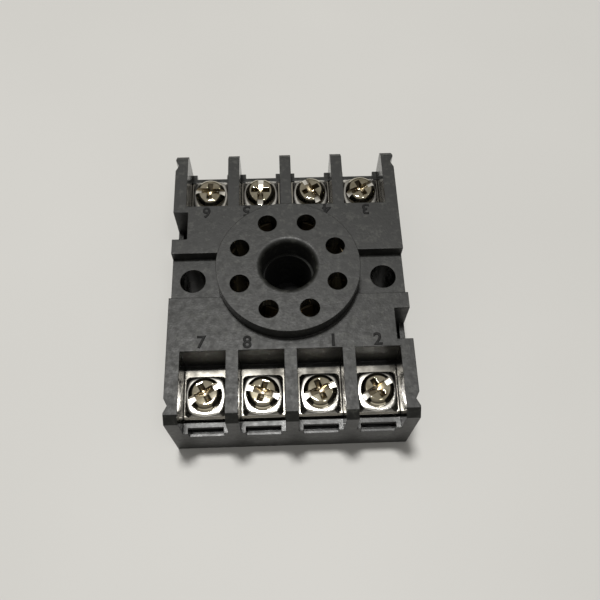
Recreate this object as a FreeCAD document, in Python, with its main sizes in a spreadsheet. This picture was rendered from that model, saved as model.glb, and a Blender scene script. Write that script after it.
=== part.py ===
"""Eight-pin octal relay socket with eight screw terminals, for a 35 mm rail or a panel.

Lengths are in millimetres.  X runs along the rail, Y runs from one row of terminals to the
other, and Z is up from the surface that the socket stands on.  The origin is at the middle
of the underside.
"""
import FreeCAD, Part
import Sketcher
import os
import re

doc = FreeCAD.newDocument("OctalSocket")

# name, size, what it is
SIZES = [
    ("body_width", 40.2, "across the rail direction, X"),
    ("body_length", 51.2, "over both rows of terminals, Y"),
    ("deck_level", 16.85, "height of the deck and of the walls between terminals"),
    ("seat_rise", 3.05, "round seat for the relay, above the deck"),
    ("seat_wall", 0.8, "plastic outside the chambers in the round seat"),
    ("channel_depth", 2.25, "channel across the deck, below it"),
    ("channel_width", 8.5, "width of that channel"),
    ("end_chamfer_run", 1.35, "chamfer at the top of the outer ends, along Y"),
    ("end_chamfer_drop", 1.15, "the same chamfer, along Z"),
    ("skirt_wall", 1.9, "side wall beside the base plate"),
    ("end_wall", 1.6, "end wall beside the base plate"),
    ("floor_top", 5.0, "top face of the base plate"),
    ("rail_seat", 3.0, "face that lies on the rail"),
    ("rail_slot", 35.4, "width of the rail slot, for a 35 mm rail"),
    ("deck_thickness", 4.25, "plastic between the deck and the hollow"),
    ("back_wall", 1.35, "wall between a terminal pocket and the hollow"),
    ("pocket_pitch", 9.454, "from one terminal to the next"),
    ("pocket_width", 7.4, "clear width of a terminal pocket"),
    ("pocket_back", 13.85, "from the middle to the back wall of a pocket"),
    ("corner_radius", 0.5, "upright corners at the back of a pocket"),
    ("ledge_width", 0.9, "ledge behind a terminal plate"),
    ("ledge_level", 9.9, "top of that ledge"),
    ("shoulder_level", 9.9, "top of the two shoulders at the mouth of a pocket"),
    ("shoulder_length", 1.0, "shoulder along Y"),
    ("shoulder_width", 0.8, "shoulder along X"),
    ("lip_length", 0.85, "lip across the pocket between the shoulders, along Y"),
    ("lip_height", 1.0, "height of that lip"),
    ("sill_level", 8.0, "top of the thin sill at the mouth of a pocket"),
    ("sill_wall", 0.5, "thickness of that sill"),
    ("pin_circle", 17.45, "pitch circle of the eight relay pins"),
    ("pin_entry", 3.25, "diameter of a pin hole in the seat"),
    ("chamber_diameter", 5.1, "diameter of the chamber round a contact clip"),
    ("chamber_wall", 1.05, "wall of the tube round that chamber"),
    ("top_skin", 2.0, "plastic above a chamber"),
    ("bore_diameter", 8.9, "mouth of the middle bore"),
    ("bore_lip", 0.9, "radius of the rounded lip of the bore"),
    ("bore_wall", 1.5, "wall of the tube round the bore"),
    ("collar_diameter", 8.1, "guide for the key post of the relay"),
    ("collar_drop", 4.4, "top of that guide, below the seat"),
    ("key_width", 1.7, "width of the keyway"),
    ("key_depth", 0.9, "depth of the keyway"),
    ("mounting_spacing", 33.0, "between the two mounting holes"),
    ("mounting_hole", 4.4, "diameter of a mounting hole"),
    ("mounting_wall", 1.2, "wall of the boss round a mounting hole"),
    ("vee_inset", 2.8, "from the end to a groove in a side face"),
    ("vee_width", 2.3, "width of that groove"),
    ("vee_depth", 0.6, "depth of that groove"),
    ("notch_start", 7.1, "from the middle to the near edge of a side notch"),
    ("notch_length", 5.55, "side notch along Y"),
    ("notch_depth", 2.6, "side notch along X"),
    ("notch_floor", 6.0, "bottom of the slot behind the tongue"),
    ("notch_wall", 1.2, "wall between the notch and the hollow"),
    ("tongue_level", 10.0, "top of the tongue in a side notch"),
    ("tongue_thickness", 0.9, "thickness of that tongue"),
    ("plate_gap", 0.1, "base plate to the walls of the housing"),
    ("terminal_row", 19.65, "from the middle to a row of screws"),
    ("strip_thickness", 0.9, "sheet of a terminal strip"),
    ("plate_side_gap", 0.1, "terminal plate to the wall of its pocket"),
    ("plate_level", 10.5, "top of the terminal plate"),
    ("plate_back", 14.9, "from the middle to the inner edge of the plate"),
    ("plate_end_gap", 0.4, "outer edge of the plate to the lip across the pocket"),
    ("plate_nose", 0.5, "radius of the outer edge of the plate"),
    ("leg_thickness", 0.52, "turned-down side of the plate"),
    ("leg_foot", 7.0, "underside of that side"),
    ("leg_length", 6.4, "length of that side"),
    ("bar_level", 6.2, "underside of the bar to the contact"),
    ("bar_width", 2.6, "width of that bar"),
    ("bar_gap", 0.2, "clear space round the bar in its passage"),
    ("long_run", 12.1, "from the middle to a long bar, X"),
    ("pad_diameter", 4.0, "round end of the bar under a clip"),
    ("tap_wall", 0.75, "wall of the drawn collar for the thread"),
    ("tap_depth", 1.2, "length of that collar below the plate"),
    ("thread_diameter", 3.4, "outside of the screw thread"),
    ("thread_gap", 0.05, "thread to its hole, radial"),
    ("clamp_side_gap", 0.35, "clamp plate to the wall of its pocket"),
    ("clamp_length", 6.9, "clamp plate along Y"),
    ("clamp_thickness", 0.6, "sheet of the clamp plate"),
    ("clamp_corner", 0.45, "cut corner of the clamp plate"),
    ("dish_margin", 0.05, "clamp plate outside its raised round dish"),
    ("dish_height", 0.35, "height of that dish"),
    ("seat_gap", 0.05, "between loose faces of a terminal"),
    ("head_diameter", 5.6, "screw head"),
    ("head_height", 1.65, "screw head"),
    ("head_crown", 0.55, "rounded part of the screw head"),
    ("shank_length", 5.9, "screw below its head"),
    ("slot_width", 1.1, "slot of the screw head"),
    ("slot_depth", 0.8, "slot of the screw head"),
    ("recess_width", 1.0, "arm of the cross recess"),
    ("recess_span", 3.6, "length over the cross recess"),
    ("recess_depth", 1.3, "depth of the cross recess"),
    ("clip_thickness", 0.35, "sheet of a contact clip"),
    ("clip_width", 2.6, "contact clip across its leaves"),
    ("clip_span", 3.5, "over both leaves at the foot"),
    ("clip_throat", 2.1, "between the leaves where they grip a pin"),
    ("clip_mouth", 3.0, "between the leaves at the top"),
    ("clip_bend", 3.0, "straight foot of a leaf"),
    ("clip_flare", 2.6, "from the throat up to the mouth of a clip"),
    ("clip_room", 1.0, "clear space above a clip"),
    ("rivet_diameter", 1.1, "shank of a clip rivet"),
    ("rivet_head", 1.8, "head of a clip rivet"),
    ("rivet_rise", 0.35, "height of a rivet head"),
    ("rivet_gap", 0.02, "shank to its hole, radial"),
    ("hook_reach", 1.3, "how far a hook reaches under the rail"),
    ("hook_width", 12.0, "fixed hook along X"),
    ("hook_level", 1.55, "top of a hook, under the edge of the rail"),
    ("latch_width", 8.4, "sliding latch along X"),
    ("latch_wing", 0.9, "guide wing on each side of the latch"),
    ("latch_wing_level", 2.2, "underside of a guide wing"),
    ("latch_height", 3.7, "top of the latch"),
    ("latch_lift", 0.2, "latch above the standing surface"),
    ("latch_gap", 0.12, "latch to its guides"),
    ("latch_length", 2.5, "latch block, from the rail slot to its back"),
    ("tail_inset", 0.3, "end of the pull tail, inside the end of the body"),
    ("tail_width", 6.0, "pull tail along X"),
    ("tail_level", 1.6, "top of the pull tail"),
    ("spring_diameter", 2.0, "outside of the latch spring"),
    ("spring_wire", 0.4, "wire of the latch spring"),
    ("spring_pitch", 0.95, "rise of the spring in one turn"),
    ("spring_level", 2.75, "axis of the spring above the standing surface"),
    ("spring_pocket", 1.0, "how deep the spring sits in the latch"),
    ("spring_clear", 0.15, "spring to its pocket, radial"),
    ("joiner_x", 15.8, "from the middle to a joining screw, X"),
    ("joiner_y", 8.5, "from the middle to a joining screw, Y"),
    ("joiner_diameter", 2.4, "joining screw"),
    ("joiner_length", 7.5, "joining screw"),
    ("joiner_head", 4.2, "countersunk head of a joining screw"),
    ("joiner_gap", 0.03, "joining screw to its hole, radial"),
    ("joiner_wall", 1.1, "wall of the boss round a joining screw"),
    ("turn_1", 21.0, "rest angle of screw 1, degrees"),
    ("turn_2", 31.0, "rest angle of screw 2, degrees"),
    ("turn_3", 25.0, "rest angle of screw 3, degrees"),
    ("turn_4", 119.0, "rest angle of screw 4, degrees"),
    ("turn_5", 88.0, "rest angle of screw 5, degrees"),
    ("turn_6", 175.0, "rest angle of screw 6, degrees"),
    ("turn_7", 29.0, "rest angle of screw 7, degrees"),
    ("turn_8", 162.0, "rest angle of screw 8, degrees"),
]

# Terminal number: (row of the terminal, place in the row, step of its pin round the circle).
# Row -1 is the one nearer -Y.  A place is counted in half pitches from the middle.
TERMINALS = {
    1: (-1, 1, 6),
    2: (-1, 3, 7),
    3: (1, 3, 0),
    4: (1, 1, 1),
    5: (1, -1, 2),
    6: (1, -3, 3),
    7: (-1, -3, 4),
    8: (-1, -1, 5),
}
PLACES = (-3, -1, 1, 3)

sheet = doc.addObject("Spreadsheet::Sheet", "Sizes")
for line, (name, value, note) in enumerate(SIZES, start=1):
    sheet.set(f"A{line}", name)
    sheet.set(f"B{line}", str(value))
    sheet.set(f"C{line}", note)
    sheet.setAlias(f"B{line}", name)
doc.recompute()

NAMES = {name for name, value, note in SIZES}


def bound(text):
    """An expression in plain size names, as the document wants it."""
    return re.sub(r"[a-z][a-z_0-9]*", lambda word: "Sizes." + word[0] if word[0] in NAMES else word[0], text)


def bind(item, **sizes):
    """Tie properties of an object to expressions."""
    for name, text in sizes.items():
        item.setExpression(name, bound(text))


def place(item, x="0", y="0", z="0", turn=None):
    """Put an object at x, y, z, turned about its own upright axis."""
    if turn is not None:
        item.setExpression(".Placement.Rotation.Angle", bound(f"({turn}) * 1 deg"))
    for axis, text in zip("xyz", (x, y, z)):
        item.setExpression(f".Placement.Base.{axis}", bound(text))


def number(text):
    """The value of an expression now."""
    return float(sheet.evalExpression(bound(text)))


# ------------------------------------------------------------------ solids from primitives


def block(name, x, y, z):
    """A block between the low and high expressions of x, y and z."""
    solid = doc.addObject("Part::Box", name)
    spans = [f"({high}) - ({low})" for low, high in (x, y, z)]
    bind(solid, Length=spans[0], Width=spans[1], Height=spans[2])
    place(solid, x[0], y[0], z[0])
    return solid


def across(middle, width):
    """The low and high of a span with this middle and width."""
    return f"{middle} - ({width}) / 2", f"{middle} + ({width}) / 2"


def rod(name, diameter, z, x="0", y="0"):
    """An upright cylinder between the low and high expressions of z."""
    solid = doc.addObject("Part::Cylinder", name)
    bind(solid, Radius=f"({diameter}) / 2", Height=f"({z[1]}) - ({z[0]})")
    place(solid, x, y, z[0])
    return solid


def joined(name, solids):
    """Several solids made one."""
    result = doc.addObject("Part::MultiFuse", name)
    result.Shapes = solids
    return result


def cut(name, base, tools):
    """The base with every tool taken out of it."""
    result = doc.addObject("Part::Cut", name)
    result.Base = base
    result.Tool = tools[0] if len(tools) == 1 else joined(name + "_tools", tools)
    return result


def mirrored(name, source, normal):
    """The mirror image of an object in a plane through the origin."""
    image = doc.addObject("Part::Mirroring", name)
    image.Source = source
    image.Normal = normal
    image.Base = (0, 0, 0)
    return image


def rounded(name, solid, edges, radius):
    """A solid with some of its edges rounded."""
    result = doc.addObject("Part::Fillet", name)
    result.Base = solid
    value = number(radius)
    result.Edges = [(edge, value, value) for edge in edges]
    return result


def edges_where(solid, test):
    """The numbers of the edges that pass a test."""
    doc.recompute()
    return [place_in_list for place_in_list, edge in enumerate(solid.Shape.Edges, start=1) if test(edge)]


# ------------------------------------------------------------------ solids from sketches


def sketch_on(body, role, name):
    """An empty sketch on one of the body's own origin planes."""
    sketch = body.newObject("Sketcher::SketchObject", name)
    plane = [feature for feature in body.Origin.OriginFeatures if feature.Role == role][0]
    sketch.AttachmentSupport = [(plane, "")]
    sketch.MapMode = "FlatFace"
    return sketch


def outline(sketch, points):
    """A closed outline of straight lines whose corners are tied to expressions."""
    corners = [FreeCAD.Vector(number(x), number(y), 0) for x, y in points]
    for index, corner in enumerate(corners):
        sketch.addGeometry(Part.LineSegment(corner, corners[(index + 1) % len(corners)]), False)
    for index in range(len(corners)):
        sketch.addConstraint(Sketcher.Constraint("Coincident", index, 2, (index + 1) % len(corners), 1))
    for index, (x, y) in enumerate(points):
        for kind, text in (("DistanceX", x), ("DistanceY", y)):
            held = sketch.addConstraint(Sketcher.Constraint(kind, -1, 1, index, 1, number(text)))
            sketch.setExpression(f"Constraints[{held}]", bound(text))
    return sketch


def circle(sketch, diameter, x="0", y="0"):
    """A circle whose size and place are tied to expressions."""
    middle = FreeCAD.Vector(number(x), number(y), 0)
    index = sketch.addGeometry(Part.Circle(middle, FreeCAD.Vector(0, 0, 1), number(diameter) / 2), False)
    held = sketch.addConstraint(Sketcher.Constraint("Diameter", index, number(diameter)))
    sketch.setExpression(f"Constraints[{held}]", bound(diameter))
    for kind, text in (("DistanceX", x), ("DistanceY", y)):
        held = sketch.addConstraint(Sketcher.Constraint(kind, -1, 1, index, 3, number(text)))
        sketch.setExpression(f"Constraints[{held}]", bound(text))
    return sketch


def lift(sketch, z):
    """Raise a sketch along its plane's normal."""
    sketch.setExpression(".AttachmentOffset.Base.z", bound(z))


def pad(body, sketch, length, middle=False):
    """Material over a sketch, along its normal."""
    feature = body.newObject("PartDesign::Pad", sketch.Name + "_pad")
    feature.Profile = sketch
    feature.Midplane = middle
    bind(feature, Length=length)
    return feature


def pocket(body, sketch, length, middle=False):
    """Material taken away below a sketch."""
    feature = body.newObject("PartDesign::Pocket", sketch.Name + "_pocket")
    feature.Profile = sketch
    feature.Midplane = middle
    bind(feature, Length=length)
    return feature


def rectangle(x, y):
    """The corners of a rectangle between the low and high of x and y."""
    return [(x[0], y[0]), (x[1], y[0]), (x[1], y[1]), (x[0], y[1])]


def clipped(half_x, half_y, corner):
    """The corners of a rectangle about the middle whose corners are cut off."""
    near_x, near_y = f"({half_x} - {corner})", f"({half_y} - {corner})"
    right = [(near_x, f"-({half_y})"), (half_x, f"-{near_y}"), (half_x, near_y), (near_x, half_y)]
    return right + [(f"-({x})", y) for x, y in reversed(right)]


def sketched(label):
    """A new sketched body with this label."""
    body = doc.addObject("PartDesign::Body", label)
    body.Label = label
    return body


# ------------------------------------------------------------------ places

HALF_LENGTH = "body_length / 2"
HALF_WIDTH = "body_width / 2"
BEYOND = "2"
BAR_TOP = "bar_level + strip_thickness"
PASSAGE_TOP = f"{BAR_TOP} + bar_gap"
HOLLOW_END = "pocket_back - back_wall"
SHOULDER_BACK = f"{HALF_LENGTH} - shoulder_length"
LIP_BACK = f"({SHOULDER_BACK} - lip_length)"
MOUTH_WIDTH = "pocket_width - 2 * shoulder_width"
SEAT_TOP = "deck_level + seat_rise"
SEAT_WIDTH = "pin_circle + chamber_diameter + 2 * seat_wall"
ROOF = "deck_level - deck_thickness"
CHANNEL_FLOOR = "deck_level - channel_depth"
COLLAR_TOP = f"{SEAT_TOP} - collar_drop"
CHAMBER_TOP = f"{SEAT_TOP} - top_skin"
PLATE_WIDTH = "pocket_width - 2 * plate_side_gap"
PLATE_FRONT = f"({LIP_BACK} - plate_end_gap)"
CLAMP_WIDTH = "pocket_width - 2 * clamp_side_gap"
LATCH_BACK = "(rail_slot / 2 + latch_length)"
LATCH_END = f"({HALF_LENGTH} - tail_inset)"
CLIP_HEIGHT = f"{CHAMBER_TOP} - ({BAR_TOP}) - clip_room"
CLIP_GRIP = f"{CLIP_HEIGHT} - clip_flare"
CLAMP_FOOT = "plate_level + seat_gap"
CLAMP_TOP = f"{CLAMP_FOOT} + clamp_thickness"
HEAD_FOOT = f"{CLAMP_TOP} + dish_height + seat_gap"


def pocket_middle(position):
    """X of the terminal at this place in a row."""
    return f"{position} / 2 * pocket_pitch"


def pin_place(step):
    """X and Y of a pin, counted round the circle from the one just left of +X."""
    angle = f"({22.5 + 45 * step} deg)"
    return f"pin_circle / 2 * cos({angle})", f"pin_circle / 2 * sin({angle})"


def bar_run(position):
    """X of the bar that leaves the terminal at this place."""
    if abs(position) == 1:
        return f"{position} * pin_circle / 2 * sin(22.5 deg)"
    return f"{position} / 3 * long_run"


# ------------------------------------------------------------------ housing


def row_cuts():
    """Everything cut from the -Y end: four pockets, their mouths and passages, and the chamfer."""
    tools = []
    high = f"deck_level + {BEYOND}"
    outside = f"-({HALF_LENGTH}) - {BEYOND}"
    for position in PLACES:
        tag = f"pocket_{position + 4}"
        span = across(pocket_middle(position), "pocket_width")
        mouth = across(pocket_middle(position), MOUTH_WIDTH)
        upper = block(tag + "_upper", span, (outside, "-pocket_back"), ("shoulder_level", high))
        upper = rounded(tag + "_open", upper, (3, 7), "corner_radius")
        lower_end = f"-({SHOULDER_BACK})"
        ledge_front = "-(pocket_back + ledge_width)"
        tools.append(upper)
        tools.append(block(tag + "_ledge", span, (lower_end, "-pocket_back"), ("ledge_level", high)))
        lip_end = f"-{LIP_BACK}"
        lip_under = "shoulder_level - lip_height"
        tools.append(block(tag + "_lower", span, (lip_end, ledge_front), ("floor_top", "shoulder_level")))
        tools.append(block(tag + "_mouth", mouth, (outside, lower_end), ("sill_level", "shoulder_level")))
        tools.append(block(tag + "_under_lip", mouth, (outside, ledge_front), ("sill_level", lip_under)))
        slot_end = f"-({HALF_LENGTH} - sill_wall)"
        tools.append(block(tag + "_slot", mouth, (slot_end, ledge_front), ("floor_top", "sill_level")))
        way = across(bar_run(position), "bar_width + 2 * bar_gap")
        tools.append(block(tag + "_way", way, (ledge_front, f"-({HOLLOW_END})"), ("floor_top", PASSAGE_TOP)))
    chamfer = doc.addObject("Part::Wedge", "end_chamfer")
    bind(
        chamfer,
        Xmin=f"-({HALF_WIDTH}) - {BEYOND}",
        Xmax=f"{HALF_WIDTH} + {BEYOND}",
        X2min=f"-({HALF_WIDTH}) - {BEYOND}",
        X2max=f"{HALF_WIDTH} + {BEYOND}",
        Ymin=f"-({HALF_LENGTH})",
        Ymax=f"-({HALF_LENGTH}) + end_chamfer_run",
        Zmin="deck_level - end_chamfer_drop",
        Zmax="deck_level",
        Z2min="deck_level",
        Z2max="deck_level",
    )
    tools.append(chamfer)
    return joined("near_row", tools)


def corner_groove(name, side, end):
    """A shallow vee down a side face near a corner."""
    groove = doc.addObject("Part::Wedge", name)
    bind(
        groove,
        Xmin="-vee_width / 2",
        Xmax="vee_width / 2",
        X2min="0",
        X2max="0",
        Ymin="0",
        Ymax="vee_depth",
        Zmin=f"-{BEYOND}",
        Zmax=f"deck_level + {BEYOND}",
        Z2min=f"-{BEYOND}",
        Z2max=f"deck_level + {BEYOND}",
    )
    place(groove, f"{side} * ({HALF_WIDTH})", f"{end} * ({HALF_LENGTH} - vee_inset)", turn=f"{side} * 90")
    return groove


def make_housing():
    """The moulded upper shell: deck, relay seat, pockets, chambers, bosses and skirt."""
    full_x = (f"-({HALF_WIDTH})", HALF_WIDTH)
    full_y = (f"-({HALF_LENGTH})", HALF_LENGTH)
    shell = block("shell_block", full_x, full_y, ("0", "deck_level"))
    hollow_x = across("0", "body_width - 2 * skirt_wall")
    hollow_y = across("0", f"2 * ({HOLLOW_END})")
    under_y = across("0", "body_length - 2 * end_wall")
    wide_x = across("0", f"body_width + 2 * {BEYOND}")
    near = row_cuts()
    first_cuts = [
        near,
        mirrored("far_row", near, (0, 1, 0)),
        block("channel", wide_x, across("0", "channel_width"), (CHANNEL_FLOOR, f"deck_level + {BEYOND}")),
        block("base_recess", hollow_x, under_y, (f"-{BEYOND}", "floor_top")),
        block("hollow", hollow_x, hollow_y, ("floor_top", ROOF)),
        block("rail_way", wide_x, across("0", "rail_slot"), (f"-{BEYOND}", "rail_seat")),
    ]
    shell = cut("open_shell", shell, first_cuts)

    parts = [shell, rod("seat", SEAT_WIDTH, (ROOF, SEAT_TOP))]
    for step in range(8):
        x, y = pin_place(step)
        tube = "chamber_diameter + 2 * chamber_wall"
        parts.append(rod(f"chamber_tube_{step + 1}", tube, (PASSAGE_TOP, ROOF), x, y))
    parts.append(rod("bore_tube", "bore_diameter + 2 * bore_wall", ("floor_top", ROOF)))
    for side in (-1, 1):
        boss = "mounting_hole + 2 * mounting_wall"
        at = f"{side} * mounting_spacing / 2"
        name = f"mounting_boss_{side + 2}"
        parts.append(rod(name, boss, ("floor_top", ROOF), at))
        boss = "joiner_diameter + 2 * joiner_wall"
        joiner = (f"{side} * joiner_x", f"{side} * joiner_y")
        parts.append(rod(f"joiner_boss_{side + 2}", boss, ("floor_top", ROOF), *joiner))
        inner = f"{HALF_WIDTH} - notch_depth - notch_wall"
        x_span = (inner, HALF_WIDTH) if side == 1 else (f"-({HALF_WIDTH})", f"-({inner})")
        low, high = "notch_start - notch_wall", "notch_start + notch_length + notch_wall"
        y_span = (f"-({high})", f"-({low})") if side == 1 else (low, high)
        parts.append(block(f"notch_block_{side + 2}", x_span, y_span, ("floor_top", ROOF)))
    shell = joined("full_shell", parts)

    last_cuts = []
    for step in range(8):
        x, y = pin_place(step)
        tag = f"{step + 1}"
        last_cuts.append(rod("pin_hole_" + tag, "pin_entry", (ROOF, f"{SEAT_TOP} + {BEYOND}"), x, y))
        last_cuts.append(rod("chamber_" + tag, "chamber_diameter", ("floor_top", CHAMBER_TOP), x, y))
    last_cuts.append(rod("bore", "bore_diameter", (COLLAR_TOP, f"{SEAT_TOP} + {BEYOND}")))
    last_cuts.append(rod("guide", "collar_diameter", ("floor_top", COLLAR_TOP)))
    key_y = ("-(collar_diameter / 2 + key_depth)", "0")
    last_cuts.append(block("keyway", across("0", "key_width"), key_y, ("floor_top", COLLAR_TOP)))
    for side in (-1, 1):
        at = f"{side} * mounting_spacing / 2"
        high = f"{CHANNEL_FLOOR} + {BEYOND}"
        last_cuts.append(rod(f"mounting_hole_{side + 2}", "mounting_hole", (f"-{BEYOND}", high), at))
        hole = "joiner_diameter + 2 * joiner_gap"
        top = "rail_seat + joiner_length + 2 * joiner_gap"
        joiner = (f"{side} * joiner_x", f"{side} * joiner_y")
        last_cuts.append(rod(f"joiner_hole_{side + 2}", hole, ("floor_top", top), *joiner))
        for end in (-1, 1):
            last_cuts.append(corner_groove(f"corner_groove_{side + 2}_{end + 2}", side, end))
        inner = f"{HALF_WIDTH} - notch_depth"
        face = f"{HALF_WIDTH} - tongue_thickness"
        low, high = "notch_start", "notch_start + notch_length"
        y_span = (f"-({high})", f"-({low})") if side == 1 else (low, high)
        open_x = (inner, f"{HALF_WIDTH} + {BEYOND}")
        slot_x = (inner, face)
        if side == -1:
            open_x = tuple(f"-({end})" for end in reversed(open_x))
            slot_x = tuple(f"-({end})" for end in reversed(slot_x))
        above = f"deck_level + {BEYOND}"
        last_cuts.append(block(f"notch_open_{side + 2}", open_x, y_span, ("tongue_level", above)))
        last_cuts.append(block(f"notch_slot_{side + 2}", slot_x, y_span, ("notch_floor", "tongue_level")))
    tail_x = across("0", "tail_width + 2 * latch_gap")
    tail_z = (f"-{BEYOND}", "tail_level + latch_gap")
    last_cuts.append(block("tail_way", tail_x, ("0", f"{HALF_LENGTH} + {BEYOND}"), tail_z))
    shell = cut("sharp_housing", shell, last_cuts)

    def is_bore_edge(edge):
        """The rim of the middle bore."""
        if not hasattr(edge.Curve, "Radius"):
            return False
        at_top = abs(edge.BoundBox.ZMax - number(SEAT_TOP)) < 1e-4
        return at_top and abs(edge.Curve.Radius - number("bore_diameter / 2")) < 1e-4

    return rounded("housing", shell, edges_where(shell, is_bore_edge), "bore_lip")


# ------------------------------------------------------------------ base plate


def make_base_plate():
    """The lower cover: it closes the hollow, carries the strips and holds the rail."""
    half_x = f"{HALF_WIDTH} - skirt_wall - plate_gap"
    half_y = f"{HALF_LENGTH} - end_wall - plate_gap"
    full_x = (f"-({half_x})", half_x)
    rail = "rail_slot / 2"
    parts = [
        block("base_sheet", full_x, (f"-({half_y})", half_y), ("rail_seat", "floor_top")),
        block("near_foot", full_x, (f"-({half_y})", f"-({rail})"), ("0", "rail_seat")),
        block("far_foot", full_x, (rail, half_y), ("0", "rail_seat")),
    ]
    hook_y = (f"-({rail})", f"-({rail}) + hook_reach")
    parts.append(block("fixed_hook", across("0", "hook_width"), hook_y, ("0", "hook_level")))
    for row in (-1, 1):
        for position in PLACES:
            tag = f"{row + 2}_{position + 4}"
            leg_y = ("terminal_row - leg_length / 2", "terminal_row + leg_length / 2")
            post_y = ("plate_back", "plate_back + strip_thickness")
            if row == -1:
                leg_y = tuple(f"-({end})" for end in reversed(leg_y))
                post_y = tuple(f"-({end})" for end in reversed(post_y))
            post_x = across(bar_run(position), "bar_width")
            parts.append(block("bar_post_" + tag, post_x, post_y, ("floor_top", "bar_level")))
            for side in (-1, 1):
                off = f"{side} * ({PLATE_WIDTH} - leg_thickness) / 2"
                leg_x = across(f"{pocket_middle(position)} + {off}", "leg_thickness")
                parts.append(block(f"leg_rib_{tag}_{side + 2}", leg_x, leg_y, ("floor_top", "leg_foot")))
    for step in range(8):
        x, y = pin_place(step)
        parts.append(rod(f"pad_post_{step + 1}", "pad_diameter", ("floor_top", "bar_level"), x, y))
    plate = joined("full_plate", parts)

    tools = []
    for side in (-1, 1):
        at = f"{side} * mounting_spacing / 2"
        tools.append(rod(f"base_mounting_{side + 2}", "mounting_hole", ("0", f"floor_top + {BEYOND}"), at))
        joiner = (f"{side} * joiner_x", f"{side} * joiner_y")
        hole = "joiner_diameter + 2 * joiner_gap"
        tools.append(rod(f"base_joiner_{side + 2}", hole, ("rail_seat", "floor_top"), *joiner))
        sink = doc.addObject("Part::Cone", f"base_sink_{side + 2}")
        top = "joiner_diameter / 2 + joiner_gap"
        low = "joiner_head / 2 + joiner_gap"
        bind(sink, Radius1=low, Radius2=top, Height="(joiner_head - joiner_diameter) / 2")
        place(sink, *joiner, "rail_seat")
        tools.append(sink)
    for step in range(8):
        x, y = pin_place(step)
        low = "bar_level - rivet_rise - rivet_gap"
        hole = "rivet_head + 2 * rivet_gap"
        tools.append(rod(f"rivet_well_{step + 1}", hole, (low, "bar_level"), x, y))
    outside = f"{half_y} + {BEYOND}"
    guide = "latch_width + 2 * latch_gap"
    wing = "latch_width + 2 * latch_wing + 2 * latch_gap"
    top = "latch_height + latch_gap"
    low_z = (f"-{BEYOND}", "latch_wing_level - latch_gap")
    wing_z = ("latch_wing_level - latch_gap", top)
    inside = f"{rail} - {BEYOND}"
    tools.append(block("latch_way", across("0", guide), (inside, outside), low_z))
    stop = f"{rail} + latch_gap"
    tools.append(block("wing_way", across("0", wing), (stop, outside), wing_z))
    shell = "spring_diameter + 2 * spring_clear"
    spring_z = ("spring_level", f"spring_level + ({shell}) / 2")
    tools.append(block("spring_way", across("0", shell), (stop, outside), spring_z))
    return cut("base_plate", plate, tools)


# ------------------------------------------------------------------ terminal metal


def make_strip(terminal):
    """Terminal plate, turned-down sides, tapped collar, riser, bar and round pad, bent from one sheet."""
    row, position, step = TERMINALS[terminal]
    side = 1 if position > 0 else -1
    reach = abs(position)
    tag = f"strip_{terminal}_"
    middle = f"{side} * ({pocket_middle(reach)})"
    run = f"{side} * ({bar_run(reach)})"
    under = "plate_level - strip_thickness"
    near_step = 6 if reach == 1 else 7
    pin_x, pin_y = pin_place(near_step)
    pin_x = f"{side} * {pin_x}"
    plate_y = (f"-{PLATE_FRONT}", "-plate_back")
    plate = block(tag + "plate", across(middle, PLATE_WIDTH), plate_y, (under, "plate_level"))
    plate = rounded(tag + "nose", plate, (10,), "plate_nose")
    parts = [plate]
    leg_y = across("-terminal_row", "leg_length")
    for edge in (-1, 1):
        off = f"{edge} * ({PLATE_WIDTH} - leg_thickness) / 2"
        leg_x = across(f"{middle} + {off}", "leg_thickness")
        parts.append(block(f"{tag}leg_{edge + 2}", leg_x, leg_y, ("leg_foot", under)))
    riser_y = ("-plate_back - strip_thickness", "-plate_back")
    parts.append(block(tag + "riser", across(run, "bar_width"), riser_y, ("bar_level", under)))
    bar_y = ("-plate_back", pin_y)
    bar_z = ("bar_level", BAR_TOP)
    parts.append(block(tag + "bar", across(run, "bar_width"), bar_y, bar_z))
    if reach == 3:
        arm_x = (pin_x, f"{run} + bar_width / 2") if side == 1 else (f"{run} - bar_width / 2", pin_x)
        arm_y = (f"{pin_y} - bar_width / 2", f"{pin_y} + bar_width / 2 - bar_gap")
        parts.append(block(tag + "arm", arm_x, arm_y, bar_z))
    parts.append(rod(tag + "pad", "pad_diameter", bar_z, pin_x, pin_y))
    collar_z = (f"{under} - tap_depth", under)
    parts.append(rod(tag + "collar", "thread_diameter + 2 * tap_wall", collar_z, middle, "-terminal_row"))
    tap = "thread_diameter + 2 * thread_gap"
    tools = [
        rod(tag + "tapping", tap, (f"{under} - tap_depth", "plate_level"), middle, "-terminal_row"),
        rod(tag + "rivet_hole", "rivet_diameter + 2 * rivet_gap", bar_z, pin_x, pin_y),
    ]
    label = f"terminal_strip_{terminal}"
    if row == -1:
        return cut(label, joined(tag + "sheet", parts), tools)
    near = cut(tag + "near", joined(tag + "sheet", parts), tools)
    return mirrored(label, near, (0, 1, 0))


def terminal_place(terminal):
    """X and Y of a terminal screw."""
    row, position, step = TERMINALS[terminal]
    return pocket_middle(position), f"{row} * terminal_row"


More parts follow.
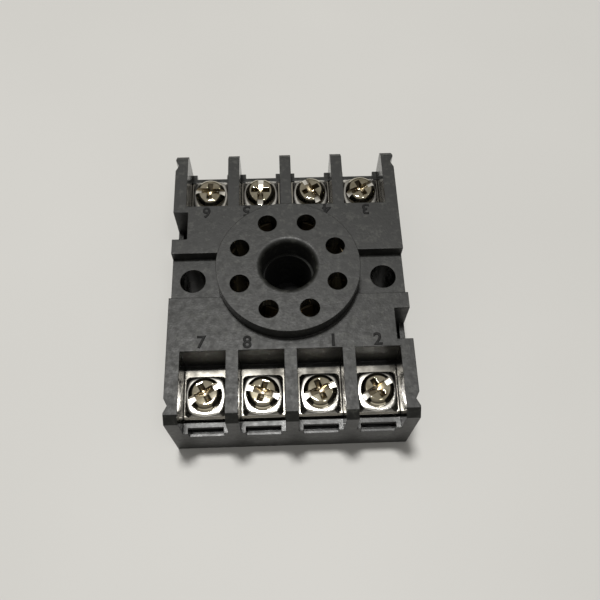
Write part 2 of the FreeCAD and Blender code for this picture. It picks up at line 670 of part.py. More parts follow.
def make_clamp(terminal):
    """Square clamp plate with a raised round dish and a hole for the screw."""
    label = f"clamp_plate_{terminal}"
    body = sketched(label)
    sheet_outline = sketch_on(body, "XY_Plane", f"clamp_outline_{terminal}")
    outline(sheet_outline, clipped(f"({CLAMP_WIDTH}) / 2", "clamp_length / 2", "clamp_corner"))
    pad(body, sheet_outline, "clamp_thickness")
    dish = sketch_on(body, "XY_Plane", f"clamp_dish_{terminal}")
    circle(dish, f"{CLAMP_WIDTH} - 2 * dish_margin")
    lift(dish, "clamp_thickness")
    raised = pad(body, dish, "dish_height")
    hole = sketch_on(body, "XY_Plane", f"clamp_hole_{terminal}")
    circle(hole, "thread_diameter + 2 * thread_gap")
    lift(hole, "clamp_thickness + dish_height")
    pocket(body, hole, "clamp_thickness + dish_height")
    place(body, *terminal_place(terminal), CLAMP_FOOT)
    return body


def make_screw(terminal):
    """Pan-head terminal screw with a slot crossed by a deeper recess."""
    label = f"terminal_screw_{terminal}"
    body = sketched(label)
    profile = sketch_on(body, "XZ_Plane", f"screw_profile_{terminal}")
    tip_chamfer = "thread_diameter / 8"
    outline(
        profile,
        [
            ("0", "-shank_length"),
            (f"thread_diameter / 2 - {tip_chamfer}", "-shank_length"),
            ("thread_diameter / 2", f"-shank_length + {tip_chamfer}"),
            ("thread_diameter / 2", "0"),
            ("head_diameter / 2", "0"),
            ("head_diameter / 2", "head_height - head_crown"),
            ("head_diameter / 2 - head_crown * 0.45", "head_height - head_crown * 0.4"),
            ("head_diameter / 2 - head_crown * 1.4", "head_height"),
            ("0", "head_height"),
        ],
    )
    turned = body.newObject("PartDesign::Revolution", f"screw_turned_{terminal}")
    turned.Profile = profile
    turned.ReferenceAxis = (profile, ["V_Axis"])
    turned.Angle = 360
    slot = sketch_on(body, "XY_Plane", f"screw_slot_{terminal}")
    outline(slot, rectangle(across("0", f"head_diameter + {BEYOND}"), across("0", "slot_width")))
    lift(slot, "head_height")
    pocket(body, slot, "slot_depth")
    for count, (length, width) in enumerate((("recess_span", "recess_width"), ("recess_width", "recess_span"))):
        arm = sketch_on(body, "XY_Plane", f"screw_arm_{terminal}_{count + 1}")
        outline(arm, rectangle(across("0", length), across("0", width)))
        lift(arm, "head_height")
        pocket(body, arm, "recess_depth")
    place(body, *terminal_place(terminal), HEAD_FOOT, turn=f"turn_{terminal}")
    return body


def make_clip(terminal):
    """Forked contact clip: a flat foot and two leaves that close to a throat and flare at the top."""
    step = TERMINALS[terminal][2]
    label = f"contact_clip_{terminal}"
    body = sketched(label)
    side = sketch_on(body, "XZ_Plane", f"clip_side_{terminal}")
    inner = "clip_span / 2 - clip_thickness"
    right_outside = [
        ("clip_span / 2", "0"),
        ("clip_span / 2", "clip_bend"),
        ("clip_throat / 2 + clip_thickness", CLIP_GRIP),
        ("clip_mouth / 2 + clip_thickness", CLIP_HEIGHT),
    ]
    right_inside = [
        ("clip_mouth / 2", CLIP_HEIGHT),
        ("clip_throat / 2", CLIP_GRIP),
        (inner, "clip_bend"),
        (inner, "clip_thickness"),
    ]
    right = right_outside + right_inside
    left = [(f"-({x})", y) for x, y in reversed(right)]
    outline(side, right + left)
    pad(body, side, "clip_width", middle=True)
    hole = sketch_on(body, "XY_Plane", f"clip_hole_{terminal}")
    circle(hole, "rivet_diameter + 2 * rivet_gap")
    lift(hole, "clip_thickness")
    pocket(body, hole, "clip_thickness")
    x, y = pin_place(step)
    place(body, x, y, BAR_TOP, turn=f"{22.5 + 45 * step}")
    return body


def make_clip_rivets():
    """Eight rivets that hold the clips to the pads of the strips."""
    rivets = []
    for step in range(8):
        x, y = pin_place(step)
        foot = "bar_level - rivet_rise"
        seat = f"{BAR_TOP} + clip_thickness"
        parts = [
            rod(f"rivet_foot_{step + 1}", "rivet_head", (foot, "bar_level"), x, y),
            rod(f"rivet_shank_{step + 1}", "rivet_diameter", ("bar_level", seat), x, y),
            rod(f"rivet_top_{step + 1}", "rivet_head", (seat, f"{seat} + rivet_rise"), x, y),
        ]
        rivets.append(joined(f"clip_rivet_{step + 1}", parts))
    group = doc.addObject("Part::Compound", "clip_rivets")
    group.Links = rivets
    return group


# ------------------------------------------------------------------ fastening and rail latch


def make_joining_screws():
    """Two countersunk screws that hold the base plate to the housing."""
    screws = []
    for side in (-1, 1):
        at = (f"{side} * joiner_x", f"{side} * joiner_y")
        head_depth = "(joiner_head - joiner_diameter) / 2"
        head = doc.addObject("Part::Cone", f"joiner_cone_{side + 2}")
        bind(head, Radius1="joiner_head / 2", Radius2="joiner_diameter / 2", Height=head_depth)
        place(head, *at, "rail_seat")
        top = "rail_seat + joiner_length"
        shank = rod(f"joiner_shank_{side + 2}", "joiner_diameter", (f"rail_seat + {head_depth}", top), *at)
        whole = joined(f"joiner_whole_{side + 2}", [head, shank])
        slots = []
        for count, (length, width) in enumerate((("2.4", "0.6"), ("0.6", "2.4"))):
            x_span = across(at[0], length)
            y_span = across(at[1], width)
            name = f"joiner_arm_{side + 2}_{count + 1}"
            slots.append(block(name, x_span, y_span, ("rail_seat", "rail_seat + 0.7")))
        screws.append(cut(f"joining_screw_{side + 2}", whole, slots))
    group = doc.addObject("Part::Compound", "joining_screws")
    group.Links = screws
    return group


def make_rail_latch():
    """Sliding latch: a bevelled hook for the rail, a winged block with a spring pocket, and a pull tail."""
    body = sketched("rail_latch")
    side = sketch_on(body, "YZ_Plane", "latch_side")
    hook_end = "rail_slot / 2 - hook_reach"
    block_start = "rail_slot / 2 + latch_gap * 2"
    outline(
        side,
        [
            (f"{hook_end} + 0.5", "latch_lift"),
            (LATCH_BACK, "latch_lift"),
            (LATCH_BACK, "latch_height"),
            (block_start, "latch_height"),
            (block_start, "hook_level"),
            (hook_end, "hook_level"),
            (hook_end, "hook_level - 0.4"),
        ],
    )
    pad(body, side, "latch_width", middle=True)
    wings = sketch_on(body, "XY_Plane", "latch_wings")
    wing_x = across("0", "latch_width + 2 * latch_wing")
    outline(wings, rectangle(wing_x, (block_start, LATCH_BACK)))
    lift(wings, "latch_wing_level")
    pad(body, wings, "latch_height - latch_wing_level")
    tail = sketch_on(body, "XY_Plane", "latch_tail_plan")
    outline(tail, rectangle(across("0", "tail_width"), (f"{LATCH_BACK} - 0.5", LATCH_END)))
    lift(tail, "latch_lift")
    pad(body, tail, "tail_level - latch_lift")
    slot = sketch_on(body, "XY_Plane", "latch_pull_slot")
    outline(slot, rectangle(across("0", "3.0"), (f"{LATCH_END} - 1.5", f"{LATCH_END} - 0.7")))
    lift(slot, "tail_level")
    pocket(body, slot, "tail_level - latch_lift")
    seat = sketch_on(body, "XZ_Plane", "latch_spring_seat")
    circle(seat, "spring_diameter + 2 * spring_clear", "0", "spring_level")
    seat.setExpression(".AttachmentOffset.Base.z", bound(f"-{LATCH_BACK}"))
    hollow = pocket(body, seat, "spring_pocket")
    hollow.Reversed = True
    return body


def make_latch_spring():
    """Compression spring between the latch and the end wall, lying along Y."""
    length = f"{HALF_LENGTH} - end_wall - ({LATCH_BACK} - spring_pocket) - spring_wire - 2 * rivet_gap"
    coil = doc.addObject("Part::Helix", "spring_path")
    bind(coil, Pitch="spring_pitch", Height=length, Radius="(spring_diameter - spring_wire) / 2")
    section = doc.addObject("Part::Circle", "spring_section")
    bind(section, Radius="spring_wire / 2")
    section.Placement.Rotation = FreeCAD.Rotation(FreeCAD.Vector(1, 0, 0), 90)
    section.setExpression(".Placement.Base.x", bound("(spring_diameter - spring_wire) / 2"))
    wire = doc.addObject("Part::Sweep", "latch_spring")
    wire.Sections = [section]
    wire.Spine = (coil, ["Edge1"])
    wire.Solid = True
    wire.Frenet = True
    wire.Placement.Rotation = FreeCAD.Rotation(FreeCAD.Vector(1, 0, 0), -90)
    start = f"{LATCH_BACK} - spring_pocket + spring_wire / 2 + rivet_gap"
    for axis, text in (("x", "0"), ("y", start), ("z", "spring_level")):
        wire.setExpression(f".Placement.Base.{axis}", bound(text))
    return wire


# ------------------------------------------------------------------ the whole socket

pieces = [make_housing(), make_base_plate()]
for terminal in TERMINALS:
    pieces.append(make_strip(terminal))
    pieces.append(make_clip(terminal))
    pieces.append(make_clamp(terminal))
    pieces.append(make_screw(terminal))
pieces.append(make_clip_rivets())
pieces.append(make_joining_screws())
pieces.append(make_rail_latch())
pieces.append(make_latch_spring())
doc.recompute()

for item in doc.Objects:
    if "Invalid" in item.State or "Error" in item.State:
        raise RuntimeError(f"{item.Label} failed: {item.State}")
    if item.TypeId == "PartDesign::Pocket" and item.Shape.Volume > item.BaseFeature.Shape.Volume - 1e-3:
        raise RuntimeError(f"{item.Label} takes nothing away")
for piece in pieces:
    if piece.Shape.isNull() or not piece.Shape.isValid():
        raise RuntimeError(f"{piece.Label} has no valid shape")

os.makedirs("parts", exist_ok=True)
for piece in pieces:
    piece.Shape.exportStep(f"parts/{piece.Label}.step")
    box = piece.Shape.BoundBox
    print(f"{piece.Label:20s} {piece.Shape.Volume:9.2f} mm3, solids {len(piece.Shape.Solids)},"
          f" x {box.XMin:.2f}..{box.XMax:.2f}, y {box.YMin:.2f}..{box.YMax:.2f}, z {box.ZMin:.2f}..{box.ZMax:.2f}")
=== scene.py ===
# %% [markdown]
# # A plug-in base for an eight-pin relay, dressed in Blender
#
# The socket is a black moulded housing with two rows of screw terminals, a round raised
# seat for the relay, and a base plate with a sliding latch for a mounting rail.  Its shape
# was drawn in a CAD program and arrives here as a fixed frame: every node already stands
# in its true place, in metres.  This lesson adds what makes it look real, which is the
# grain of the mouldings, the plating of the metal, finer screws and clamp plates, and the
# terminal numbers.  We start by loading the frame and reading the boxes of its nodes, from
# which the new screws and clamp plates take their places.  Nothing that we add may make the
# object bigger.

import math

import bmesh
import bpy
from mathutils import Matrix, Vector


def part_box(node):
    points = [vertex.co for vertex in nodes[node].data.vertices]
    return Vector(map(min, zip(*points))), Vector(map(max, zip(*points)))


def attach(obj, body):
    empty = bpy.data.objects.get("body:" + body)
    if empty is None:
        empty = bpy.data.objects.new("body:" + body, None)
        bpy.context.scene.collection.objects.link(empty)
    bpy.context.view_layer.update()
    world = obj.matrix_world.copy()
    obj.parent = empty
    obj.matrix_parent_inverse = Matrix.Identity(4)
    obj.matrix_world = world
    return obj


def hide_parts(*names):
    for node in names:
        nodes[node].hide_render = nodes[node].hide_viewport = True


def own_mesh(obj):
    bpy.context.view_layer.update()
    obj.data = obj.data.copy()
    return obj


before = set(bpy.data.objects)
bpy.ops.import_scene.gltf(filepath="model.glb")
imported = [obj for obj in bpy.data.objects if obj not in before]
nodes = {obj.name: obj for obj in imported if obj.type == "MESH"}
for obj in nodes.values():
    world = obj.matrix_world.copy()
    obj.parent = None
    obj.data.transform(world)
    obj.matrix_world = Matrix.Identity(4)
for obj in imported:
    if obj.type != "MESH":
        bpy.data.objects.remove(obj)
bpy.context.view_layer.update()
MM = 0.001
TERMINALS = range(1, 9)
SEAT_RISE = 3.05


def span(node):
    """Lowest corner, highest corner and middle of a node, in millimetres."""
    low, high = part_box(node)
    return low / MM, high / MM, (low + high) / (2 * MM)


seat_top = span("housing")[1].z
deck = seat_top - SEAT_RISE
print("nodes", len(nodes), "seat top", round(seat_top, 2), "deck", round(deck, 2))

# %% [markdown]
# ## The camera
#
# A camera is placed by its position and by three axes: its X points right, its Y points
# up in the view, and it looks along its own minus Z.  Writing those axes straight into a
# matrix is exact, where a "track to" constraint could only aim it.  We look down at the
# socket from the side of terminals 7, 8, 1 and 2, at about 65 degrees.

# %% Camera
VIEW_HEIGHT_ANGLE = 1.127
VIEW_SIDE_ANGLE = 0.054
VIEW_TILT = 0.022
EYE = Vector((-0.78, -53.64, 118.86)) * MM
LENS = 40.5
SENSOR_WIDTH = 36
NEAREST = 5 * MM


def viewing_axes(height_angle, side_angle, tilt):
    """Right, up and forward of a camera, as unit vectors."""
    forward = Vector((
        math.sin(side_angle) * math.cos(height_angle),
        math.cos(side_angle) * math.cos(height_angle),
        -math.sin(height_angle),
    ))
    level = Vector((math.cos(side_angle), -math.sin(side_angle), 0))
    rise = level.cross(forward)
    right = math.cos(tilt) * level + math.sin(tilt) * rise
    up = -math.sin(tilt) * level + math.cos(tilt) * rise
    return right, up, forward


right, up, forward = viewing_axes(VIEW_HEIGHT_ANGLE, VIEW_SIDE_ANGLE, VIEW_TILT)
camera_data = bpy.data.cameras.new("bench_camera")
camera_data.lens = LENS
camera_data.sensor_width = SENSOR_WIDTH
camera_data.clip_start = NEAREST
camera = bpy.data.objects.new("bench_camera", camera_data)
bpy.context.scene.collection.objects.link(camera)
turn = Matrix((right, up, -forward)).transposed()
camera.matrix_world = Matrix.Translation(EYE) @ turn.to_4x4()
bpy.context.scene.camera = camera
bpy.context.scene.view_settings.view_transform = "Standard"
print("camera looks along", [round(c, 3) for c in forward])

# %% [markdown]
# ## Building a finish from nodes
#
# A finish is more than a colour.  Light shows three things about a surface: how its colour
# drifts from place to place, how glossy it is, and the fine relief that a tool or a mould
# left.  Each comes from a noise texture at its own scale, so a few helpers are enough for
# all the finishes here.  They read object coordinates, which are metres in the frame, so a
# noise scale of 1000 has features about a millimetre across.

# %% Helpers for finishes
NOISE_LOW, NOISE_HIGH = 0.3, 0.7
EDGE_SAMPLES = 6


def new_finish(name, metallic):
    """An empty finish with one shader; returns the material and its shader node."""
    material = bpy.data.materials.new(name)
    material.use_nodes = True
    tree = material.node_tree
    tree.nodes.clear()
    output = tree.nodes.new("ShaderNodeOutputMaterial")
    shader = tree.nodes.new("ShaderNodeBsdfPrincipled")
    shader.inputs["Metallic"].default_value = metallic
    tree.links.new(shader.outputs["BSDF"], output.inputs["Surface"])
    return material, shader


def cloud(material, scale, detail=3.0, stretch=(1, 1, 1), roughness=0.55):
    """A noise pattern; scale is features per metre. Returns its value."""
    tree = material.node_tree
    place = tree.nodes.new("ShaderNodeTexCoord")
    mapping = tree.nodes.new("ShaderNodeMapping")
    noise = tree.nodes.new("ShaderNodeTexNoise")
    mapping.inputs["Scale"].default_value = stretch
    noise.inputs["Scale"].default_value = scale
    noise.inputs["Detail"].default_value = detail
    noise.inputs["Roughness"].default_value = roughness
    tree.links.new(place.outputs["Object"], mapping.inputs["Vector"])
    tree.links.new(mapping.outputs["Vector"], noise.inputs["Vector"])
    return noise.outputs["Fac"]


def blend_colours(material, value, stops):
    """Turns a value into a colour through stops of (place, (r, g, b))."""
    ramp = material.node_tree.nodes.new("ShaderNodeValToRGB")
    elements = ramp.color_ramp.elements
    while len(elements) < len(stops):
        elements.new(0.5)
    for element, (place, colour) in zip(elements, stops):
        element.position = place
        element.color = (*colour, 1)
    material.node_tree.links.new(value, ramp.inputs["Fac"])
    return ramp.outputs["Color"]


def rescale(material, value, low, high):
    """Spreads the middle of a noise value over low to high."""
    node = material.node_tree.nodes.new("ShaderNodeMapRange")
    node.inputs["From Min"].default_value = NOISE_LOW
    node.inputs["From Max"].default_value = NOISE_HIGH
    node.inputs["To Min"].default_value = low
    node.inputs["To Max"].default_value = high
    material.node_tree.links.new(value, node.inputs["Value"])
    return node.outputs["Result"]


def soft_edges(material, radius):
    """Shading that rounds sharp edges by radius millimetres. Returns a normal."""
    node = material.node_tree.nodes.new("ShaderNodeBevel")
    node.samples = EDGE_SAMPLES
    node.inputs["Radius"].default_value = radius * MM
    return node.outputs["Normal"]


def relief(material, height, depth, under=None):
    """Fine relief of depth millimetres on top of another normal. Returns a normal."""
    node = material.node_tree.nodes.new("ShaderNodeBump")
    node.inputs["Distance"].default_value = depth * MM
    material.node_tree.links.new(height, node.inputs["Height"])
    if under is not None:
        material.node_tree.links.new(under, node.inputs["Normal"])
    return node.outputs["Normal"]


def connect(material, value, socket):
    """Feeds a value, a colour or a normal into a socket."""
    material.node_tree.links.new(value, socket)


def dress(node, material):
    """Gives a CAD node a finish in every one of its material slots."""
    mesh = nodes[node].data
    if not mesh.materials:
        mesh.materials.append(material)
    for index in range(len(mesh.materials)):
        mesh.materials[index] = material


print("finish helpers ready")

# %% [markdown]
# ## Black moulded plastic
#
# The housing is a thermoset moulding.  Its top faces were pressed against a lightly eroded
# face of the mould and are satin, while upright faces slid along steel and are glossier.
# The walls of the pockets, which face along X, were shaped by polished cores and shine most:
# they mirror the metal beside them.  The sills low down in the pockets shine too, but less.
# The geometry's own normal and height tell these apart, so one finish covers them all.  A
# slow cloud of lighter grey gives the mottled look that such plastic has under a lamp, a
# faint grain breaks up the highlight, and dust dulls the middle bore.

# %% Finish of the mouldings
BORE_RADIUS = 4.47
SILL_LEVEL = 11.0
DUST_ROUGHNESS = 0.85
MOULD_EDGE = 0.16
MOULD_WAVE = 0.008


def part_of(material, source, axis):
    """One coordinate of the place or of the normal, as source says."""
    tree = material.node_tree
    place = tree.nodes.new("ShaderNodeTexCoord")
    parts = tree.nodes.new("ShaderNodeSeparateXYZ")
    tree.links.new(place.outputs[source], parts.inputs["Vector"])
    return parts.outputs[axis]


def below(material, value, limit):
    """1 where a value is less than a limit in millimetres, 0 elsewhere."""
    node = material.node_tree.nodes.new("ShaderNodeMath")
    node.operation = "LESS_THAN"
    node.inputs[1].default_value = limit * MM
    connect(material, value, node.inputs[0])
    return node.outputs["Value"]


def facing(material, axis):
    """1 on faces that look along an axis, either way, and 0 on faces square to it."""
    node = material.node_tree.nodes.new("ShaderNodeMath")
    node.operation = "ABSOLUTE"
    connect(material, part_of(material, "Normal", axis), node.inputs[0])
    return node.outputs["Value"]


def mix_values(material, factor, low, high):
    """low where factor is 0, high where it is 1; high may be a plain number."""
    node = material.node_tree.nodes.new("ShaderNodeMix")
    node.data_type = "FLOAT"
    connect(material, factor, node.inputs[0])
    connect(material, low, node.inputs[2])
    if isinstance(high, float):
        node.inputs[3].default_value = high
    else:
        connect(material, high, node.inputs[3])
    return node.outputs[0]


def inside_bore(material):
    """1 down in the middle bore, 0 elsewhere."""
    tree = material.node_tree
    place = tree.nodes.new("ShaderNodeTexCoord")
    flat = tree.nodes.new("ShaderNodeVectorMath")
    flat.operation = "MULTIPLY"
    flat.inputs[1].default_value = (1, 1, 0)
    reach = tree.nodes.new("ShaderNodeVectorMath")
    reach.operation = "LENGTH"
    tree.links.new(place.outputs["Object"], flat.inputs[0])
    tree.links.new(flat.outputs["Vector"], reach.inputs[0])
    return below(material, reach.outputs["Value"], BORE_RADIUS)


def moulding(name, dark, light, satin, gloss, polish, grain_depth):
    """Moulded plastic; satin, gloss and polish are the roughness of tops, sides and walls."""
    material, shader = new_finish(name, 0.0)
    mottle = cloud(material, 800, 6.0, roughness=0.72)
    colour = blend_colours(material, mottle, [(0.40, dark), (0.52, dark), (0.66, light)])
    connect(material, colour, shader.inputs["Base Color"])
    patches = cloud(material, 900, 5.0, roughness=0.70)
    rough_deck = rescale(material, patches, satin - 0.11, satin + 0.11)
    rough_sill = rescale(material, patches, satin - 0.23, satin - 0.06)
    low_down = below(material, part_of(material, "Object", "Z"), SILL_LEVEL)
    rough_top = mix_values(material, low_down, rough_deck, rough_sill)
    rough_side = rescale(material, patches, gloss - 0.06, gloss + 0.07)
    rough_wall = rescale(material, patches, polish - 0.04, polish + 0.06)
    upright = mix_values(material, facing(material, "X"), rough_side, rough_wall)
    sheen = mix_values(material, facing(material, "Z"), upright, rough_top)
    dusty = mix_values(material, inside_bore(material), sheen, DUST_ROUGHNESS)
    connect(material, dusty, shader.inputs["Roughness"])
    edge = soft_edges(material, MOULD_EDGE)
    wavy = relief(material, cloud(material, 900, 2.0), MOULD_WAVE, edge)
    grain = relief(material, cloud(material, 3600, 4.0), grain_depth, wavy)
    connect(material, grain, shader.inputs["Normal"])
    return material


housing_finish = moulding("housing_moulding", (0.0078, 0.0082, 0.0070), (0.036, 0.037, 0.032),
                          0.50, 0.46, 0.14, 0.022)
base_finish = moulding("base_moulding", (0.010, 0.010, 0.010), (0.020, 0.020, 0.0195),
                       0.46, 0.34, 0.30, 0.007)
latch_finish = moulding("latch_moulding", (0.012, 0.012, 0.012), (0.022, 0.022, 0.0215),
                        0.40, 0.30, 0.26, 0.005)
dress("housing", housing_finish)
dress("base_plate", base_finish)
dress("rail_latch", latch_finish)
print("mouldings dressed")

# %% [markdown]
# ## Plated metal
#
# Terminal strips are stamped from sheet and nickel plated.  Rolled sheet keeps faint lines
# along the rolling direction, so its relief is a noise stretched hard in one direction.
# Handling and heat leave slightly warmer and duller patches, which come from a slow cloud
# in both colour and roughness.  Every metal here is the same recipe with its own numbers.

# %% Finish of the metals
def plating(name, cool, warm, smooth, dull, line_stretch, line_depth, edge_radius):
    """Bare or plated metal; smooth and dull are its lowest and highest roughness."""
    material, shader = new_finish(name, 1.0)
    patches = cloud(material, 420, 4.0)
    colour = blend_colours(material, patches, [(0.38, cool), (0.64, warm)])
    connect(material, colour, shader.inputs["Base Color"])
    wear = cloud(material, 240, 3.0)
    connect(material, rescale(material, wear, smooth, dull), shader.inputs["Roughness"])
    edge = soft_edges(material, edge_radius)
    lines = relief(material, cloud(material, 2600, 2.0, line_stretch), line_depth, edge)
    dents = relief(material, cloud(material, 260, 1.0), line_depth * 3, lines)
    connect(material, dents, shader.inputs["Normal"])
    return material


ACROSS = (0.08, 1.0, 1.0)
EVEN = (1.0, 1.0, 1.0)
strip_finish = plating("strip_nickel", (0.62, 0.60, 0.55), (0.74, 0.70, 0.62),
                       0.08, 0.19, ACROSS, 0.0010, 0.06)
# The contact clips are tarnished bronze, darkened further with painted shade for the dark
# chambers they sit in.
clip_painted_shade_finish = plating("clip_bronze_painted_shade", (0.16, 0.13, 0.08), (0.26, 0.21, 0.14),
                      0.40, 0.55, EVEN, 0.002, 0.04)
clamp_finish = plating("clamp_nickel", (0.80, 0.78, 0.74), (0.88, 0.85, 0.78),
                       0.14, 0.24, EVEN, 0.0008, 0.05)
screw_finish = plating("screw_nickel", (0.48, 0.43, 0.31), (0.74, 0.68, 0.54),
                       0.06, 0.085, EVEN, 0.0002, 0.02)
# Painted shade: the faces of the cross recess get a darker copy of the screw's nickel.
recess_painted_shade = plating("recess_nickel_painted_shade", (0.20, 0.17, 0.12), (0.42, 0.36, 0.25),
                        0.16, 0.26, EVEN, 0.0008, 0.02)
# Painted highlight: the floor of the slot gets a lighter copy of the screw's nickel.
slot_floor_painted_highlight = plating("slot_floor_nickel_painted_highlight", (0.80, 0.77, 0.70), (0.88, 0.86, 0.80),
                      0.22, 0.34, EVEN, 0.002, 0.04)
rivet_finish = plating("rivet_brass", (0.72, 0.55, 0.28), (0.78, 0.66, 0.40),
                       0.28, 0.42, EVEN, 0.002, 0.04)
joining_finish = plating("joining_zinc", (0.52, 0.53, 0.54), (0.62, 0.61, 0.56),
                         0.30, 0.48, EVEN, 0.002, 0.05)
spring_finish = plating("spring_steel", (0.55, 0.56, 0.57), (0.66, 0.65, 0.62),
                        0.22, 0.38, EVEN, 0.001, 0.02)
for number in TERMINALS:
    dress(f"terminal_strip_{number}", strip_finish)
    dress(f"contact_clip_{number}", clip_painted_shade_finish)
dress("clip_rivets", rivet_finish)
dress("joining_screws", joining_finish)
print("metal nodes dressed")

# %% [markdown]
# ## Turning a profile on the lathe
#
# Screw heads are round, so the natural way to make one is to draw half of its outline and
# turn it about its axis.  We work in millimetres at the origin, where the numbers are easy
# to read and modifiers behave well, and shrink to metres only when a piece is put in place.

# %% A lathe for round pieces
ON_AXIS = 1e-6


def polar(radius, angle, height):
    """A point given by its distance from the axis, its angle and its height."""
    return radius * math.cos(angle), radius * math.sin(angle), height


def skin(made, lower, upper, steps):
    """Faces between two rings of corners; a ring of one corner makes triangles."""
    for step in range(steps):
        after = (step + 1) % steps
        corners = [lower[step % len(lower)], lower[after % len(lower)],
                   upper[after % len(upper)], upper[step % len(upper)]]
        made.faces.new(list(dict.fromkeys(corners)))


def lathe(profile, segments):
    """A closed bmesh turned from (radius, height) points; ends on the axis become caps."""
    made = bmesh.new()
    rings = []
    for radius, height in profile:
        if radius < ON_AXIS:
            rings.append([made.verts.new((0, 0, height))])
            continue
        rings.append([made.verts.new(polar(radius, 2 * math.pi * step / segments, height))
                      for step in range(segments)])
    for lower, upper in zip(rings, rings[1:]):
        skin(made, lower, upper, segments)
    bmesh.ops.recalc_face_normals(made, faces=made.faces)
    return made


def workpiece(name, made):
    """A temporary object, in millimetres, from a bmesh."""
    mesh = bpy.data.meshes.new(name)
    made.to_mesh(mesh)
    made.free()
    piece = bpy.data.objects.new(name, mesh)
    bpy.context.scene.collection.objects.link(piece)
    return piece


def finished_mesh(piece):
    """The mesh of a piece with its modifiers worked out."""
    bpy.context.view_layer.update()
    graph = bpy.context.evaluated_depsgraph_get()
    return bpy.data.meshes.new_from_object(piece.evaluated_get(graph), depsgraph=graph)


print("lathe ready")

# %% [markdown]
# ## A combination screw head
#
# The terminal screws have a slot right across the head and a cross recess in the middle, so
# either driver fits.  The head is turned with a low crown and a rounded rim, then a slot
# cutter and two tapered recess cutters are taken out of it with boolean modifiers.  The arm
# along the slot starts at the slot's floor, and the arm across it at the crown.  A narrow
# bevel breaks the cut edges, as tumbling does on a real screw.

# %% Screw head
HEAD_SEGMENTS = 72
HEAD_HEIGHT = 1.65
HEAD_OUTLINE = [(0, 0), (2.66, 0), (2.8, 0.14), (2.8, 0.74), (2.76, 0.98), (2.64, 1.2),
                (2.46, 1.4), (2.26, 1.54), (2.1, 1.615), (1.96, 1.645), (1.9, 1.648),
                (0.6, 1.65), (0, 1.65)]
SLOT_WIDTH = 1.1
SLOT_FLOOR = 0.85
RECESS_SPAN = 3.5
RECESS_TIP = 0.6
RECESS_FLOOR = 0.36
CLEAR_OF_HEAD = 7
CUT_BEVEL = 0.04
BEVEL_SEGMENTS = 2
BEVEL_ANGLE = 42
SQUARE_CORNERS = ((-1, -1), (1, -1), (1, 1), (-1, 1))


def tapered_block(length_top, width_top, length_low, width_low, low, high):
    """A block that narrows downwards, along X."""
    made = bmesh.new()
    lower = [made.verts.new((x * length_low / 2, y * width_low / 2, low))
             for x, y in SQUARE_CORNERS]
    upper = [made.verts.new((x * length_top / 2, y * width_top / 2, high))
             for x, y in SQUARE_CORNERS]
    made.faces.new(lower)
    made.faces.new(upper)
    skin(made, lower, upper, len(SQUARE_CORNERS))
    bmesh.ops.recalc_face_normals(made, faces=made.faces)
    return made


def cut_away(piece, cutter):
    """Takes a cutter out of a piece with a boolean modifier."""
    modifier = piece.modifiers.new("cut", "BOOLEAN")
    modifier.operation = "DIFFERENCE"
    modifier.solver = "EXACT"
    modifier.object = cutter
    cutter.hide_render = True


def break_edges(piece):
    """A narrow bevel on the sharp edges of a piece."""
    modifier = piece.modifiers.new("edges", "BEVEL")
    modifier.width = CUT_BEVEL
    modifier.segments = BEVEL_SEGMENTS
    modifier.limit_method = "ANGLE"
    modifier.angle_limit = math.radians(BEVEL_ANGLE)


def cut_head():
    """The head as a mesh in millimetres, with its slot and cross recess cut."""
    head = workpiece("head_blank", lathe(HEAD_OUTLINE, HEAD_SEGMENTS))
    slot = workpiece("slot_cutter", tapered_block(
        CLEAR_OF_HEAD, SLOT_WIDTH + 0.05, CLEAR_OF_HEAD, SLOT_WIDTH - 0.05, SLOT_FLOOR,
        HEAD_HEIGHT + 0.75))
    arm = workpiece("arm_cutter", tapered_block(
        RECESS_SPAN - 0.1, SLOT_WIDTH - 0.1, RECESS_TIP, 0.4, RECESS_FLOOR,
        SLOT_FLOOR + 0.02))
    cross_arm = workpiece("cross_arm_cutter", tapered_block(
        RECESS_SPAN, SLOT_WIDTH - 0.1, RECESS_TIP + 1, 0.45, RECESS_FLOOR + 0.003,
        HEAD_HEIGHT + 0.02))
    cross_arm.rotation_euler = (0, 0, math.pi / 2)
    cutters = [slot, arm, cross_arm]
    for cutter in cutters:
        cut_away(head, cutter)
    break_edges(head)
    mesh = finished_mesh(head)
    for piece in [head] + cutters:
        bpy.data.objects.remove(piece)
    return mesh


head_mesh = cut_head()
print("screw head has", len(head_mesh.polygons), "faces")

# %% [markdown]
# ## A real thread
#
# A thread is a ridge that climbs as it goes round.  On a grid of points round the shank, the
# radius at a point depends on its height minus its share of one turn, so the ridge winds by
# itself.  That is simpler and cleaner than sweeping a profile along a helix, and the point
# of the screw is tapered by limiting the radius near the end.

# %% Threaded shank
THREAD_OUTER = 1.7
THREAD_ROOT = 1.42
THREAD_PITCH = 0.6
THREAD_STEPS = 40
LEVEL_HEIGHT = 0.075
SHANK_LENGTH = 5.9
SHANK_RISE = 0.3
POINT_CUT = 0.45
POINT_SLOPE = 1.1
CREST_REACH = 1.35
FLANK_SLOPE = 3.6


def ridge(share):
    """Height of a rounded-off thread flank, 0 to 1, for a share of one pitch."""
    return max(0.0, min(1.0, CREST_REACH - abs(share - 0.5) * FLANK_SLOPE))


